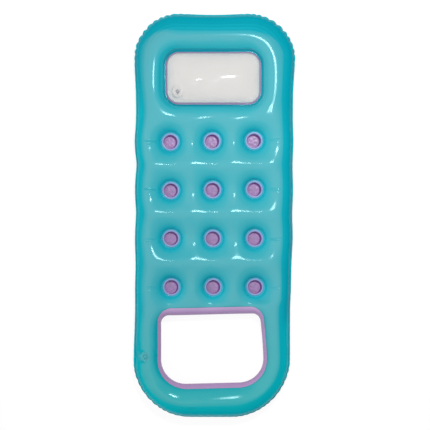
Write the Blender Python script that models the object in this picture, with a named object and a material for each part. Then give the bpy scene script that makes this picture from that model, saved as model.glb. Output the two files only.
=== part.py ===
"""Inflatable pool lounger: teal and lilac films welded round pockets, a clear pillow and an open foot window.

Metres, +Z up. The head is at +Y, and +X is to the right of someone who looks down at it. The origin is
under the middle of the lounger, on the surface that it rests on. The films are shown blown up, as shells of
their real thickness, and both valves are shut and pushed in.
"""

import math

import bmesh
import bpy
import numpy as np
from mathutils import Matrix, Vector
from mathutils.geometry import delaunay_2d_cdt

# Films and welds
FILM = 0.0003  # thickness of every film
GAP = 0.0003  # clearance between two pieces that touch
SEAM = 0.007  # width of the outer weld
LAP = 0.006  # width of the welds round the pillow and the foot window

# Plan
LENGTH = 1.830
WIDTH = 0.722  # halfway down
TAPER = 0.032  # how much of WIDTH the head end is wider than the foot end
SIDE_WAVE = 0.003  # how far the sides swell beside each row of pockets
HEAD_CORNER = 0.200
FOOT_CORNER = 0.256

# Pillow, foot window and the rails round them
HEAD_RAIL = 0.175
PILLOW_SIDE_RAIL = 0.1455
PILLOW_LENGTH = 0.238
PILLOW_CORNER = 0.060
FOOT_RAIL = 0.149
FOOT_SIDE_RAIL = 0.1295
WINDOW_LENGTH = 0.319
WINDOW_HEAD_CORNER = 0.060
WINDOW_FOOT_CORNER = 0.120
ROLL_HEAD = 0.027  # how far the lilac film shows inside the foot window's seam, at its head end
ROLL_FOOT = 0.023
ROLL_SIDE = 0.015

# Pockets
ROWS = 4
COLUMNS = 3
COLUMN_INSET = 0.172  # from the side of the lounger to the first column
FIRST_ROW = 0.168  # from the pillow to the first row
LAST_ROW = 0.122  # from the last row to the foot window
FLANGE_RADIUS = 0.041
MOUTH_RADIUS = 0.0315
FLOOR_RADIUS = 0.027
CUP_DEPTH = 0.024

# Heights
MIDDLE = 0.0586  # height of the welds above the ground, so that the lower film is cut flat there, 0.5 mm deep
TUBE_ABOVE = 0.068  # radius of the upper film's round section, and its height where the chamber is wide
TUBE_BELOW = 0.0605
TUBE_PILLOW = 0.050
BLEND_ABOVE = 6  # how late the round sections from two sides give way to each other
BLEND_BELOW = 12
DIMPLE_REACH = 0.023  # how far from a pocket its dimple has mostly risen to the crown
REST_RADIUS = 0.022  # of the flat patches between four pockets, on which the lounger rests

# Valves
MAIN_VALVE_INSET = 0.056  # from the left side of the lounger
MAIN_VALVE_DROP = 0.028  # below the middle of the foot window
PILLOW_VALVE_INSET = 0.055  # from the left side and the foot side of the pillow
BASE_RADIUS = 0.019
BASE_THICKNESS = 0.0010
BORE_RADIUS = 0.0070
WELL_WALL = 0.0012
WELL_DEPTH = 0.0050
STEM_LENGTH = 0.0200
STEM_WALL = 0.0016
STEM_CLEARANCE = 0.0003
COLLAR_RADIUS = 0.0095
COLLAR_THICKNESS = 0.0012
CAP_RADIUS = 0.0076
CAP_THICKNESS = 0.0018
PLUG_LENGTH = 0.0060
PLUG_TAPER = 0.0013
STRAP_LENGTH = 0.0130  # from the middle of the stopper to its hinge line
STRAP_WIDTH = 0.0044
STRAP_THICKNESS = 0.0009
FLAP_THICKNESS = 0.0004
FLAP_REACH = 0.0064  # from the middle of the flap to its hinge line
SEAT_RADIUS = 0.021  # flat ground for a valve
SEAT_BLEND = 0.038  # where the film has its own height again

# How finely the forms are cut
FACE_SPACING = 0.078
POCKET_SIDES = 10
VALVE_SIDES = 10
TURN_SIDES = 20
SIDE_PITCH = 0.115
HOLE_PITCH = 0.120
OUTLINE_STEPS = 5  # facets in a quarter turn
HOLE_STEPS = 4
SECTION_STEPS = (0.004, 0.016, 0.056)  # how far in from the outer weld the round section has its edges
PILLOW_STEP = 0.010
DIMPLE_STEP = 0.016

# Places that follow from the sizes
BACK = -LENGTH / 2
PILLOW = {
    "low": (-WIDTH / 2 + PILLOW_SIDE_RAIL, LENGTH / 2 - HEAD_RAIL - PILLOW_LENGTH),
    "high": (WIDTH / 2 - PILLOW_SIDE_RAIL, LENGTH / 2 - HEAD_RAIL),
    "corners": (PILLOW_CORNER, PILLOW_CORNER),
}
WINDOW = {
    "low": (-WIDTH / 2 + FOOT_SIDE_RAIL, BACK + FOOT_RAIL),
    "high": (WIDTH / 2 - FOOT_SIDE_RAIL, BACK + FOOT_RAIL + WINDOW_LENGTH),
    "corners": (WINDOW_HEAD_CORNER, WINDOW_FOOT_CORNER),
}
OUTLINE = {
    "low": (-WIDTH / 2, BACK),
    "high": (WIDTH / 2, LENGTH / 2),
    "corners": (HEAD_CORNER, FOOT_CORNER),
}
FIRST_Y = PILLOW["low"][1] - FIRST_ROW
LAST_Y = WINDOW["high"][1] + LAST_ROW
ROW_PITCH = (FIRST_Y - LAST_Y) / (ROWS - 1)
COLUMN_PITCH = (WIDTH - 2 * COLUMN_INSET) / (COLUMNS - 1)
HOLE_RADIUS = (MOUTH_RADIUS + FILM + GAP) / math.cos(math.pi / POCKET_SIDES)  # over a faceted hole's corners
RING_RADIUS = (FLANGE_RADIUS + GAP) / math.cos(math.pi / POCKET_SIDES)
HOLD = CUP_DEPTH / 2  # how far above and below the middle a pocket holds the films
WELL_RADIUS = BORE_RADIUS + WELL_WALL
WELL_HOLE = (WELL_RADIUS + GAP) / math.cos(math.pi / VALVE_SIDES)
MAIN_VALVE = (-WIDTH / 2 + MAIN_VALVE_INSET, (WINDOW["low"][1] + WINDOW["high"][1]) / 2 - MAIN_VALVE_DROP)
PILLOW_VALVE = (PILLOW["low"][0] + PILLOW_VALVE_INSET, PILLOW["low"][1] + PILLOW_VALVE_INSET)


def pocket_places():
    """(row, column, x, y) of each pocket, from the head down and from left to right."""
    for row in range(ROWS):
        for column in range(COLUMNS):
            x = (column - (COLUMNS - 1) / 2) * COLUMN_PITCH
            yield row + 1, column + 1, x, FIRST_Y - row * ROW_PITCH


def grown(box, by):
    """The rounded box moved out by a distance on every side, or in where it is negative."""
    (x0, y0), (x1, y1) = box["low"], box["high"]
    corners = tuple(max(radius + by, 0.004) for radius in box["corners"])
    return {"low": (x0 - by, y0 - by), "high": (x1 + by, y1 + by), "corners": corners}


def rolled_seam():
    """The foot window's seam, set back from its clear edge by how much lilac film shows."""
    (x0, y0), (x1, y1) = WINDOW["low"], WINDOW["high"]
    return {
        "low": (x0 - ROLL_SIDE, y0 - ROLL_FOOT),
        "high": (x1 + ROLL_SIDE, y1 + ROLL_HEAD),
        "corners": (WINDOW_HEAD_CORNER + ROLL_SIDE, WINDOW_FOOT_CORNER + ROLL_SIDE),
    }


def swell(y):
    """How wide the outline is at a height y on the plan, as a share: a taper, and a wave beside the rows."""
    beside_rows = (y < FIRST_Y + ROW_PITCH / 2) & (y > LAST_Y - ROW_PITCH / 2)
    wave = np.where(beside_rows, np.cos(2 * np.pi * (y - FIRST_Y) / ROW_PITCH) - 1, -2)
    return 1 + TAPER * y / LENGTH + SIDE_WAVE / WIDTH * (wave + 2)


def depth_in(box, x, y):
    """Distance from a point to the edge of a rounded box, positive inside it."""
    (x0, y0), (x1, y1) = box["low"], box["high"]
    radius = np.where(y > (y0 + y1) / 2, box["corners"][0], box["corners"][1])
    across = np.abs(x - (x0 + x1) / 2) - (x1 - x0) / 2 + radius
    along = np.abs(y - (y0 + y1) / 2) - (y1 - y0) / 2 + radius
    outside = np.hypot(np.maximum(across, 0), np.maximum(along, 0))
    return radius - outside - np.minimum(np.maximum(across, along), 0)


def loop_of(box, pitch=HOLE_PITCH, corner_steps=HOLE_STEPS):
    """Points round a rounded box, anticlockwise: arcs at its corners and even steps along its sides."""
    (x0, y0), (x1, y1) = box["low"], box["high"]
    head, foot = box["corners"]
    turns = [(x1 - foot, y0 + foot, foot, -90), (x1 - head, y1 - head, head, 0)]
    turns += [(x0 + head, y1 - head, head, 90), (x0 + foot, y0 + foot, foot, 180)]
    arcs = []
    for x, y, radius, start in turns:
        angle = np.radians(start + np.linspace(0, 90, corner_steps + 1))
        arcs.append(np.stack([x + radius * np.cos(angle), y + radius * np.sin(angle)], axis=1))
    points = []
    for arc, following in zip(arcs, arcs[1:] + arcs[:1]):
        steps = max(1, round(float(np.linalg.norm(following[0] - arc[-1])) / pitch))
        points += [arc, arc[-1] + (following[0] - arc[-1]) * np.linspace(0, 1, steps + 1)[1:-1, None]]
    return np.concatenate(points)


def ring(x, y, radius, sides):
    angle = 2 * np.pi * (np.arange(sides) + 0.5) / sides
    return np.stack([x + radius * np.cos(angle), y + radius * np.sin(angle)], axis=1)


def outer_loop(inset):
    """A loop at one depth inside the lounger's outline, with its taper and wave."""
    loop = loop_of(grown(OUTLINE, -inset), SIDE_PITCH, OUTLINE_STEPS)
    loop[:, 0] *= swell(loop[:, 1])
    return loop


def within(loop, points):
    """Which points lie inside a closed loop: a ray from one crosses the loop an odd number of times."""
    x, y = points[:, None, 0], points[:, None, 1]
    (ax, ay), (bx, by) = loop.T, np.roll(loop, -1, axis=0).T
    spans = (ay > y) != (by > y)
    rise = np.where(by == ay, 1, by - ay)
    return (spans & (x < ax + (y - ay) / rise * (bx - ax))).sum(axis=1) % 2 == 1


def tube(depth, radius):
    """Height of a round tube's wall, by how far in from its weld: nearly a quarter circle, eased to level."""
    depth = np.maximum(depth, 1e-12)
    return np.sqrt(2 * radius * depth) / (1 + (2 * depth / radius) ** 2) ** 0.25


def crown(depths, radius, blend):
    """Height of a film off the middle plane: tubes that rise from each weld, with the lowest one winning."""
    lowering = sum((radius / tube(depth, radius)) ** blend - 1 for depth in depths)
    return radius * (1 + lowering) ** (-1 / blend)


def dimpled(height, x, y, ring_radius):
    """The height drawn down to each pocket's ring, in a dimple that dies away with the distance from it."""
    rise = 1.0
    for _, _, px, py in pocket_places():
        rise = rise * (1 - np.exp(-np.maximum(np.hypot(x - px, y - py) - ring_radius, 0) / DIMPLE_REACH))
    return height * (rise + (1 - rise) * HOLD / np.maximum(height, HOLD))


def room(x, y):
    """Distances from the outer weld, the pillow's weld and the foot window, positive in the main chamber."""
    outer = depth_in(OUTLINE, x / swell(y), y) - SEAM
    return outer, -depth_in(grown(PILLOW, LAP), x, y), -depth_in(WINDOW, x, y)


def upper_film(x, y):
    return dimpled(crown(room(x, y), TUBE_ABOVE, BLEND_ABOVE), x, y, RING_RADIUS)


def lower_film(x, y):
    return dimpled(crown(room(x, y), TUBE_BELOW, BLEND_BELOW), x, y, HOLE_RADIUS)


def pillow_film(x, y):
    return tube(depth_in(grown(PILLOW, -LAP), x, y), TUBE_PILLOW)


def seated(height, valve):
    """The height with level ground for a valve, blended into the film round it."""

    def with_seat(x, y):
        away = np.hypot(x - valve[0], y - valve[1])
        level = float(height(np.array([valve[0]]), np.array([valve[1]]))[0])
        blend = np.clip((away - SEAT_RADIUS) / (SEAT_BLEND - SEAT_RADIUS), 0, 1)
        blend = blend * blend * (3 - 2 * blend)
        return level + (height(x, y) - level) * blend

    return with_seat


def plan_mesh(loops, clearance):
    """(points, triangles, their middles) of the plan: loops stay as edges, with a staggered grid between."""
    edges, first = [], 0
    for loop in loops:
        edges += [(first + k, first + (k + 1) % len(loop)) for k in range(len(loop))]
        first += len(loop)
    taken = np.concatenate(loops)
    rows, columns = np.meshgrid(
        np.arange(-LENGTH / 2, LENGTH / 2, FACE_SPACING * math.sqrt(3) / 2),
        np.arange(-WIDTH / 2, WIDTH / 2, FACE_SPACING),
        indexing="ij",
    )
    columns = columns + FACE_SPACING / 2 * (np.arange(len(rows)) % 2)[:, None]
    grid = np.stack([columns.ravel(), rows.ravel()], axis=1)
    grid = grid[clearance(*grid.T) > FACE_SPACING * 0.4]
    nearest = np.min(np.linalg.norm(grid[:, None] - taken[None], axis=2), axis=1, initial=1)
    flat = np.concatenate([taken, grid[nearest > FACE_SPACING * 0.45]])
    found, _, faces, *_ = delaunay_2d_cdt([Vector(p) for p in flat.tolist()], edges, [], 0, 1e-7)
    found, faces = np.array([tuple(p) for p in found]), np.array(faces)
    return found, faces, found[faces].mean(axis=1)


def material(name, colour, roughness, alpha=1.0):
    made = bpy.data.materials.new(name)
    made.use_nodes = True
    shader = made.node_tree.nodes["Principled BSDF"]
    shader.inputs["Base Color"].default_value = (*colour, 1)
    shader.inputs["Roughness"].default_value = roughness
    shader.inputs["Alpha"].default_value = alpha
    made.diffuse_color = (*colour, alpha)
    return made


def add_mesh(name, points, faces, finish):
    mesh = bpy.data.meshes.new(name)
    mesh.from_pydata([tuple(p) for p in np.asarray(points).tolist()], [], [tuple(f) for f in faces])
    mesh.materials.append(finish)
    mesh.shade_smooth()
    part = bpy.data.objects.new(name, mesh)
    bpy.context.scene.collection.objects.link(part)
    return part


def add_film(name, points, faces, finish):
    """A film whose outer face runs through the points, with its thickness inside it."""
    used, faces = np.unique(faces, return_inverse=True)
    film = add_mesh(name, points[used], faces.reshape(-1, 3), finish)
    wall = film.modifiers.new("film", "SOLIDIFY")
    wall.thickness = FILM
    wall.offset = -1
    wall.use_even_offset = True
    return film


def turned(name, profile, place, finish, sides=TURN_SIDES, beside=0.0):
    """A profile of (radius, height) points turned about an upright axis, `beside` the origin along Y."""
    rings = []
    mesh = bmesh.new()
    for radius, height in profile:
        count = sides if radius > 0 else 1
        angle = 2 * np.pi * np.arange(count) / sides
        rings.append([mesh.verts.new((radius * math.cos(a), radius * math.sin(a), height)) for a in angle])
    for one, other in zip(rings, rings[1:] + rings[:1]):
        for k in range(sides):
            corners = [one[k % len(one)], one[(k + 1) % len(one)]]
            corners += [other[(k + 1) % len(other)], other[k % len(other)]]
            corners = list(dict.fromkeys(corners))
            if len(corners) > 2:
                mesh.faces.new(corners)
    bmesh.ops.recalc_face_normals(mesh, faces=mesh.faces)
    data = bpy.data.meshes.new(name)
    mesh.to_mesh(data)
    mesh.free()
    data.transform(Matrix.Translation((0, beside, 0)))
    data.materials.append(finish)
    data.shade_smooth()
    data.set_sharp_from_angle(angle=math.radians(40))
    part = bpy.data.objects.new(name, data)
    bpy.context.scene.collection.objects.link(part)
    part.location = place
    return part


def fuse(part, other):
    """Joins a helper shape to a piece."""
    join = part.modifiers.new("join", "BOOLEAN")
    join.operation = "UNION"
    join.object = other
    other.hide_render = True
    other.display_type = "WIRE"


def block(name, low, high, place):
    """A helper box between two corners, counted from a place."""
    corners = [(x, y, z) for x in (low[0], high[0]) for y in (low[1], high[1]) for z in (low[2], high[2])]
    sides = [(0, 1, 3, 2), (4, 6, 7, 5), (0, 4, 5, 1), (2, 3, 7, 6), (0, 2, 6, 4), (1, 5, 7, 3)]
    mesh = bpy.data.meshes.new(name)
    mesh.from_pydata(corners, [], sides)
    part = bpy.data.objects.new(name, mesh)
    bpy.context.scene.collection.objects.link(part)
    part.location = place
    return part


def rounded_end(name, radius, half_width, place):
    """A helper cylinder along X, which rounds off a strap at its hinge line."""
    mesh = bmesh.new()
    bmesh.ops.create_cone(
        mesh, cap_ends=True, segments=12, radius1=radius, radius2=radius, depth=2 * half_width
    )
    data = bpy.data.meshes.new(name)
    mesh.to_mesh(data)
    mesh.free()
    part = bpy.data.objects.new(name, data)
    bpy.context.scene.collection.objects.link(part)
    part.rotation_euler = (0, math.pi / 2, 0)
    part.location = place
    return part


def make_sheets(teal, lilac):
    """The teal and the lilac film, cut from one plan so that their facets match where they lap."""
    pockets = [(x, y) for _, _, x, y in pocket_places()]
    seam = rolled_seam()
    upper = seated(upper_film, MAIN_VALVE)

    outline, clear_edge, seam_edge = outer_loop(0), loop_of(WINDOW), loop_of(seam)
    lap_edge, pillow_edge = loop_of(grown(seam, LAP)), loop_of(PILLOW)
    flange_edge = loop_of(grown(PILLOW, -LAP))
    cups = [ring(x, y, HOLE_RADIUS, POCKET_SIDES) for x, y in pockets]
    well = ring(*MAIN_VALVE, WELL_HOLE, VALVE_SIDES)
    loops = [outline, outer_loop(SEAM), clear_edge, seam_edge, lap_edge, pillow_edge, flange_edge]
    loops += [loop_of(grown(PILLOW, LAP)), *cups, well, ring(*MAIN_VALVE, SEAT_RADIUS, VALVE_SIDES)]
    loops += [ring(x, y, RING_RADIUS, POCKET_SIDES) for x, y in pockets]
    loops += [outer_loop(SEAM + step) for step in SECTION_STEPS]
    loops += [loop_of(grown(PILLOW, LAP + PILLOW_STEP)), loop_of(grown(WINDOW, SECTION_STEPS[0]))]
    loops += [ring(x, y, RING_RADIUS + DIMPLE_STEP, POCKET_SIDES) for x, y in pockets]
    for row, column, x, y in pocket_places():
        if row < ROWS and column < COLUMNS:
            loops.append(ring(x + COLUMN_PITCH / 2, y - ROW_PITCH / 2, REST_RADIUS, 6))

    plan, faces, middles = plan_mesh(loops, lambda x, y: np.minimum.reduce(room(x, y)))
    x, y = plan.T
    on_lounger = within(outline, middles) & ~within(clear_edge, middles)
    holes = np.logical_or.reduce([within(loop, middles) for loop in (seam_edge, pillow_edge, well, *cups)])

    top_z = MIDDLE + GAP / 2 + FILM + upper(x, y)
    add_film("top_sheet", np.stack([x, y, top_z], axis=1), faces[on_lounger & ~holes], teal)

    under = on_lounger & ~within(flange_edge, middles)
    rolled = under & within(lap_edge, middles)
    under_z = np.maximum(MIDDLE - GAP / 2 - FILM - lower_film(x, y), 0)
    roll_z = MIDDLE - GAP / 2 - FILM + upper(x, y)
    points = np.concatenate([np.stack([x, y, under_z], axis=1), np.stack([x, y, roll_z], axis=1)])
    on_edge = np.min(np.linalg.norm(plan[:, None] - clear_edge[None], axis=2), axis=1) < 1e-6
    turned_up = np.arange(len(plan)) + len(plan) * ~on_edge
    add_film("bottom_sheet", points, np.concatenate([faces[under][:, ::-1], turned_up[faces[rolled]]]), lilac)
    return upper


def make_pillow(clear):
    """The clear films of the pillow's own chamber, welded to the lilac film round it."""
    welded = grown(PILLOW, -LAP)
    upper = seated(pillow_film, PILLOW_VALVE)
    well = ring(*PILLOW_VALVE, WELL_HOLE, VALVE_SIDES)
    rim = loop_of(grown(PILLOW, -GAP))
    level = GAP / 2 + FILM

    loops = [rim, loop_of(welded), *(loop_of(grown(welded, -step)) for step in SECTION_STEPS[:2])]
    valve_loops = [well, ring(*PILLOW_VALVE, SEAT_RADIUS, VALVE_SIDES)]
    plan, faces, middles = plan_mesh(loops + valve_loops, lambda x, y: depth_in(welded, x, y))
    z = MIDDLE + level + upper(*plan.T)
    keep = within(rim, middles) & ~within(well, middles)
    add_film("pillow_top_film", np.column_stack([plan, z]), faces[keep], clear)

    plan, faces, middles = plan_mesh(loops, lambda x, y: depth_in(welded, x, y))
    z = MIDDLE - level - GAP - FILM - pillow_film(*plan.T)
    keep = within(rim, middles)
    add_film("pillow_bottom_film", np.column_stack([plan, z]), faces[keep][:, ::-1], clear)
    return upper


def make_cups(lilac):
    """The pocket cups. Each flange lies on the teal film, and each floor on the lilac one, which it holds."""
    top = MIDDLE + 1.5 * GAP + 2 * FILM + HOLD
    floor = MIDDLE + GAP / 2 - HOLD
    profile = [
        (0, floor),
        (FLOOR_RADIUS, floor),
        (MOUTH_RADIUS + FILM, top - FILM),
        (FLANGE_RADIUS, top - FILM),
        (FLANGE_RADIUS, top),
        (MOUTH_RADIUS, top),
        (FLOOR_RADIUS - FILM, floor + FILM),
        (0, floor + FILM),
    ]
    for row, column, x, y in pocket_places():
        turned(f"pocket_cup_r{row}c{column}", profile, (x, y, 0), lilac, 24)


def make_valve(prefix, place, ground, clear):
    """One valve, shut and pushed in: its base lies on the film at a height, and all else is in the base."""
    x, y = place
    seat = ground + GAP
    face = seat + BASE_THICKNESS
    base = [
        (BORE_RADIUS, face),
        (BORE_RADIUS, seat - WELL_DEPTH),
        (WELL_RADIUS, seat - WELL_DEPTH),
        (WELL_RADIUS, seat),
        (BASE_RADIUS, seat),
        (BASE_RADIUS, seat + BASE_THICKNESS / 2),
        (BASE_RADIUS - BASE_THICKNESS, face),
    ]
    turned(f"{prefix}_base", base, (x, y, 0), clear, 28)

    stem_radius = BORE_RADIUS - STEM_CLEARANCE
    inner = stem_radius - STEM_WALL
    collar = face + GAP
    collar_top = collar + COLLAR_THICKNESS
    stem_end = collar - STEM_LENGTH
    stem_profile = [
        (inner, stem_end - collar),
        (stem_radius, stem_end - collar),
        (stem_radius, 0),
        (COLLAR_RADIUS, 0),
        (COLLAR_RADIUS, COLLAR_THICKNESS),
        (inner, COLLAR_THICKNESS),
    ]
    stem = turned(f"{prefix}_stem", stem_profile, (x, y, collar), clear)
    ear_end = -STRAP_LENGTH - STRAP_THICKNESS
    ear = block(
        f"{prefix}_ear",
        (-STRAP_WIDTH / 2, ear_end, 0),
        (STRAP_WIDTH / 2, -(stem_radius + COLLAR_RADIUS) / 2, COLLAR_THICKNESS),
        (x, y, collar),
    )
    fuse(stem, ear)

    hinge_z = collar_top + GAP + STRAP_THICKNESS / 2
    hinge = (x, y - STRAP_LENGTH, hinge_z)
    plug = inner - GAP
    under = -STRAP_THICKNESS / 2
    stopper_profile = [
        (0, under - PLUG_LENGTH),
        (plug - PLUG_TAPER, under - PLUG_LENGTH),
        (plug, under - PLUG_LENGTH / 3),
        (plug, under),
        (CAP_RADIUS, under),
        (CAP_RADIUS, under + CAP_THICKNESS * 0.7),
        (CAP_RADIUS - CAP_THICKNESS * 0.3, under + CAP_THICKNESS),
        (0, under + CAP_THICKNESS),
    ]
    stopper = turned(f"{prefix}_stopper", stopper_profile, hinge, clear, beside=STRAP_LENGTH)
    strap = block(
        f"{prefix}_strap",
        (-STRAP_WIDTH / 2, 0, under),
        (STRAP_WIDTH / 2, STRAP_LENGTH - CAP_RADIUS * 0.8, -under),
        hinge,
    )
    fuse(stopper, strap)
    fuse(stopper, rounded_end(f"{prefix}_strap_end", STRAP_THICKNESS / 2, STRAP_WIDTH / 2, hinge))

    flap_radius = stem_radius - 2 * GAP
    flap_profile = [(0, -FLAP_THICKNESS), (flap_radius, -FLAP_THICKNESS), (flap_radius, 0), (0, 0)]
    flap_hinge = (x, y - FLAP_REACH, stem_end - GAP)
    turned(f"{prefix}_flap", flap_profile, flap_hinge, clear, beside=FLAP_REACH)


def main():
    for old in list(bpy.data.objects):
        bpy.data.objects.remove(old, do_unlink=True)
    teal = material("teal film", (0.03, 0.42, 0.48), 0.12, 0.85)
    lilac = material("lilac film", (0.42, 0.28, 0.50), 0.15)
    clear = material("clear film", (0.72, 0.70, 0.69), 0.08, 0.45)
    moulded = material("clear soft moulding", (0.62, 0.66, 0.68), 0.20, 0.80)

    upper = make_sheets(teal, lilac)
    pillow = make_pillow(clear)
    make_cups(lilac)
    level = MIDDLE + GAP / 2 + FILM
    for prefix, place, height in (("main_valve", MAIN_VALVE, upper), ("pillow_valve", PILLOW_VALVE, pillow)):
        ground = level + float(height(np.array([place[0]]), np.array([place[1]]))[0])
        make_valve(prefix, place, ground, moulded)


main()
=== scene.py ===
"""Looks of the inflatable pool lounger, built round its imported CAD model.

Metres, +Z up, the head at +Y. Every film is a surface worked out over the plan: the same sizes as the CAD
source, with the gathers, pleats and ripples that blown-up film has. The frame stays as it is.
"""

import math

import bmesh
import bpy
import numpy as np
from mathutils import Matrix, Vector
from mathutils.geometry import delaunay_2d_cdt


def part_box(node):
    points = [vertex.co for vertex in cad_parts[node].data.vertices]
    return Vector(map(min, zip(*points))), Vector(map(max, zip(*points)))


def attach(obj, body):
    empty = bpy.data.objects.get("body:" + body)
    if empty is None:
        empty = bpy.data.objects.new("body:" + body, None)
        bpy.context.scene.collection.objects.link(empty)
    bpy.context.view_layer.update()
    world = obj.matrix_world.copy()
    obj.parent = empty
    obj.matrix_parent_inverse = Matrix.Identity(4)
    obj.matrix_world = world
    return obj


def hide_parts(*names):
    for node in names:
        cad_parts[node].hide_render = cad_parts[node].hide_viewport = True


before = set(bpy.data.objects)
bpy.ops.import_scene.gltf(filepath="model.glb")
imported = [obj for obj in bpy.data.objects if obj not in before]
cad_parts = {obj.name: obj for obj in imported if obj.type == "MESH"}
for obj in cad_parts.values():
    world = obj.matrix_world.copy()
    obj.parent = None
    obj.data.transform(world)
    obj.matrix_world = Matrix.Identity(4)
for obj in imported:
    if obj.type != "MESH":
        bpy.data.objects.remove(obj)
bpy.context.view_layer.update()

# Films, welds and plan, as in the CAD source
FILM = 0.0003
GAP = 0.0003
SEAM = 0.007
LAP = 0.006
LENGTH = 1.83
WIDTH = 0.722
TAPER = 0.032
SIDE_WAVE = 0.003
MIDDLE = 0.0586
TUBE_BELOW = 0.0605
BLEND_BELOW = 12
DIMPLE_REACH = 0.023
ROWS = 4
COLUMNS = 3
FLANGE_RADIUS = 0.041
MOUTH_RADIUS = 0.0315
FLOOR_RADIUS = 0.027
HOLD = 0.012
HOLE_RADIUS = 0.0325
WELL_HOLE = 0.0088
WELL_DEPTH = 0.005
SEAT_RADIUS = 0.021
OUTLINE = {"low": (-0.361, -0.915), "high": (0.361, 0.915), "corners": (0.2, 0.256)}
PILLOW = {"low": (-0.2155, 0.502), "high": (0.2155, 0.74), "corners": (0.06, 0.06)}
WINDOW = {"low": (-0.2315, -0.766), "high": (0.2315, -0.4545), "corners": (0.036, 0.112)}
SEAM_LINE = {"low": (-0.2465, -0.784), "high": (0.2465, -0.419), "corners": (0.064, 0.132)}
FIRST_Y = 0.334
LAST_Y = -0.325
ROW_PITCH = (FIRST_Y - LAST_Y) / (ROWS - 1)
COLUMN_PITCH = 0.189
MAIN_VALVE = (-0.305, -0.6345)
PILLOW_VALVE = (-0.1605, 0.557)
POCKETS = [
    (row + 1, column + 1, (column - 1) * COLUMN_PITCH, FIRST_Y - row * ROW_PITCH)
    for row in range(ROWS)
    for column in range(COLUMNS)
]
UPPER_FACE = MIDDLE + GAP / 2 + FILM  # outer face of the upper films at their welds
UNDER_FACE = MIDDLE - GAP / 2 - FILM
CUP_TOP = MIDDLE + 1.5 * GAP + 2 * FILM + HOLD
CUP_FLOOR = MIDDLE + GAP / 2 - HOLD

# What blown-up film does
ROUNDNESS = 1.1  # height of a rail over half its width
TALLEST = 0.074  # the height that the film's crests level out to
SKEW_HEAD = 0.3  # how far the rails' crests move inwards, round the pillow
SKEW_FIELD = -0.3
SKEW_FOOT = 0.0
SKEW_END = -0.35  # at the foot end, behind the window
RIDGE = 0.0028  # height of the crests between two rows
RIDGE_WIDTH = 0.03
COLUMN_LIFT = 0.0032  # of the saddles between two columns
COLUMN_SHARES = ((-0.34, -0.24, -0.1, 0.0, 0.12, 0.22), (0.8, -1.5, -1.6, -0.8, -0.5, 0.3))  # Y, share
RAIL_LIFT = 0.004  # of the rails beside the pillow
SWELLINGS = (
    (-0.115, 0.23, 1.6, 28), (0.074, 0.233, 1.1, 28), (-0.115, 0.012, 2.6, 30), (0.07, 0.013, 1.8, 30),
    (-0.115, -0.205, 2.8, 31), (0.07, -0.204, 2.0, 31), (-0.28, 0.227, 2.6, 42), (-0.28, 0.019, 2.6, 42),
    (-0.28, -0.189, 2.2, 42), (-0.03, -0.84, 3.6, 100),
)  # where crests cross: X and Y in metres, height and width in millimetres
FOOT_RIDGE = 0.0034  # of the crest behind the window
FOOT_CREST = (0.063, 0.018)  # its distance from the weld, and its width
SEAM_FILLET, PILLOW_FILLET, RING_FILLET = 0.0045, 0.006, 0.01  # how wide the film curves up from a weld
SEAT_BLEND = 0.032  # where the film round a valve is free of its seat, from the valve's middle
DROOP = 0.3  # slope of the outer weld, which hangs a little
WALL_BULGE = 0.0045  # how far the walls belly out over the outer weld
PILLOW_CREST = 0.0585
PILLOW_SHAPE = 0.46
PILLOW_SAG = 0.82  # depth of the pillow's lower film over the height of its upper one
TOOTH_PITCH = 0.032  # between two gathers in the outer weld
HEAD_TOOTH = 0.0076  # how deep the gathers are in the head corners
FOOT_TOOTH = 0.0036
SIDE_TOOTH = 0.0005
TOOTH_ZONES = (
    (0.3, 0.855, HEAD_TOOTH, 0.15), (-0.3, 0.855, HEAD_TOOTH, 0.15),
    (0.285, -0.84, FOOT_TOOTH, 0.17), (-0.285, -0.84, FOOT_TOOTH, 0.17),
)  # X, Y, depth, and how far it spreads
NOTCH_REACH = 0.017  # how far a gather draws the film in
CREASE_DEPTH = 0.0022
CREASE_WIDTH = 0.009
RUFFLE = 0.0016  # how far the weld's free edge waves up and down at the corners
RUFFLE_WIDTH = 0.012
UNDER_INSET = 0.0006  # of the lower film's free edge, which hides it from above
HEAD_HOLLOW = 0.0062  # how far the head edge is drawn in at its middle
SETTLED_SIDES = (
    (0.915, 7.0, -2.0), (0.885, 7.0, -1.5), (0.831, 9.0, 1.6), (0.776, 6.3, 3.2), (0.722, 7.0, 7.0),
    (0.668, 7.3, 4.0), (0.613, 10.0, 0.5), (0.559, 12.3, -2.3), (0.477, 13.0, -2.7), (0.395, 11.3, -2.7),
    (0.341, 8.6, -2.7), (0.287, 9.5, -2.7), (0.232, 14.0, -2.7), (0.178, 10.0, -2.7), (0.123, 8.6, -2.7),
    (0.069, 8.6, -2.7), (0.015, 10.0, -2.7), (-0.04, 7.9, -2.7), (-0.094, 7.3, -2.9), (-0.149, 6.4, -3.6),
    (-0.203, 6.0, -4.2), (-0.258, 6.6, -6.6), (-0.312, 6.5, -9.4), (-0.366, 5.2, -10.0), (-0.421, 2.9, -10.0),
    (-0.475, 1.3, -10.0), (-0.53, -0.6, -10.0), (-0.584, -3.2, -9.7), (-0.639, -5.0, -9.2),
    (-0.693, -6.1, -9.8), (-0.747, -5.7, -12.7), (-0.802, -4.6, -15.3), (-0.856, -4.8, -17.5),
    (-0.915, -5.0, -19.0),
)  # Y in metres, and how far the left and the right edge have settled along X, in millimetres
EDGE_REACH = 0.1  # how far in the edges take the film with them
WINDOW_LEAN = ((-0.8, -0.7, -0.634, -0.56, -0.48), (-0.002, -0.004, -0.006, -0.011, -0.019))
WINDOW_SHIFT = -0.005  # of the window's left side, while WINDOW_LEAN is along Y for its right one
WINDOW_RISE = 0.0085
DRIFT_AT = (-0.4, -0.325, -0.105, 0.114, 0.334, 0.375, 0.455)  # places along Y
DRIFT_X = (0, -0.0005, -0.0022, -0.0036, -0.0055, -0.0055, 0)  # how far the pockets have drifted there
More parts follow.
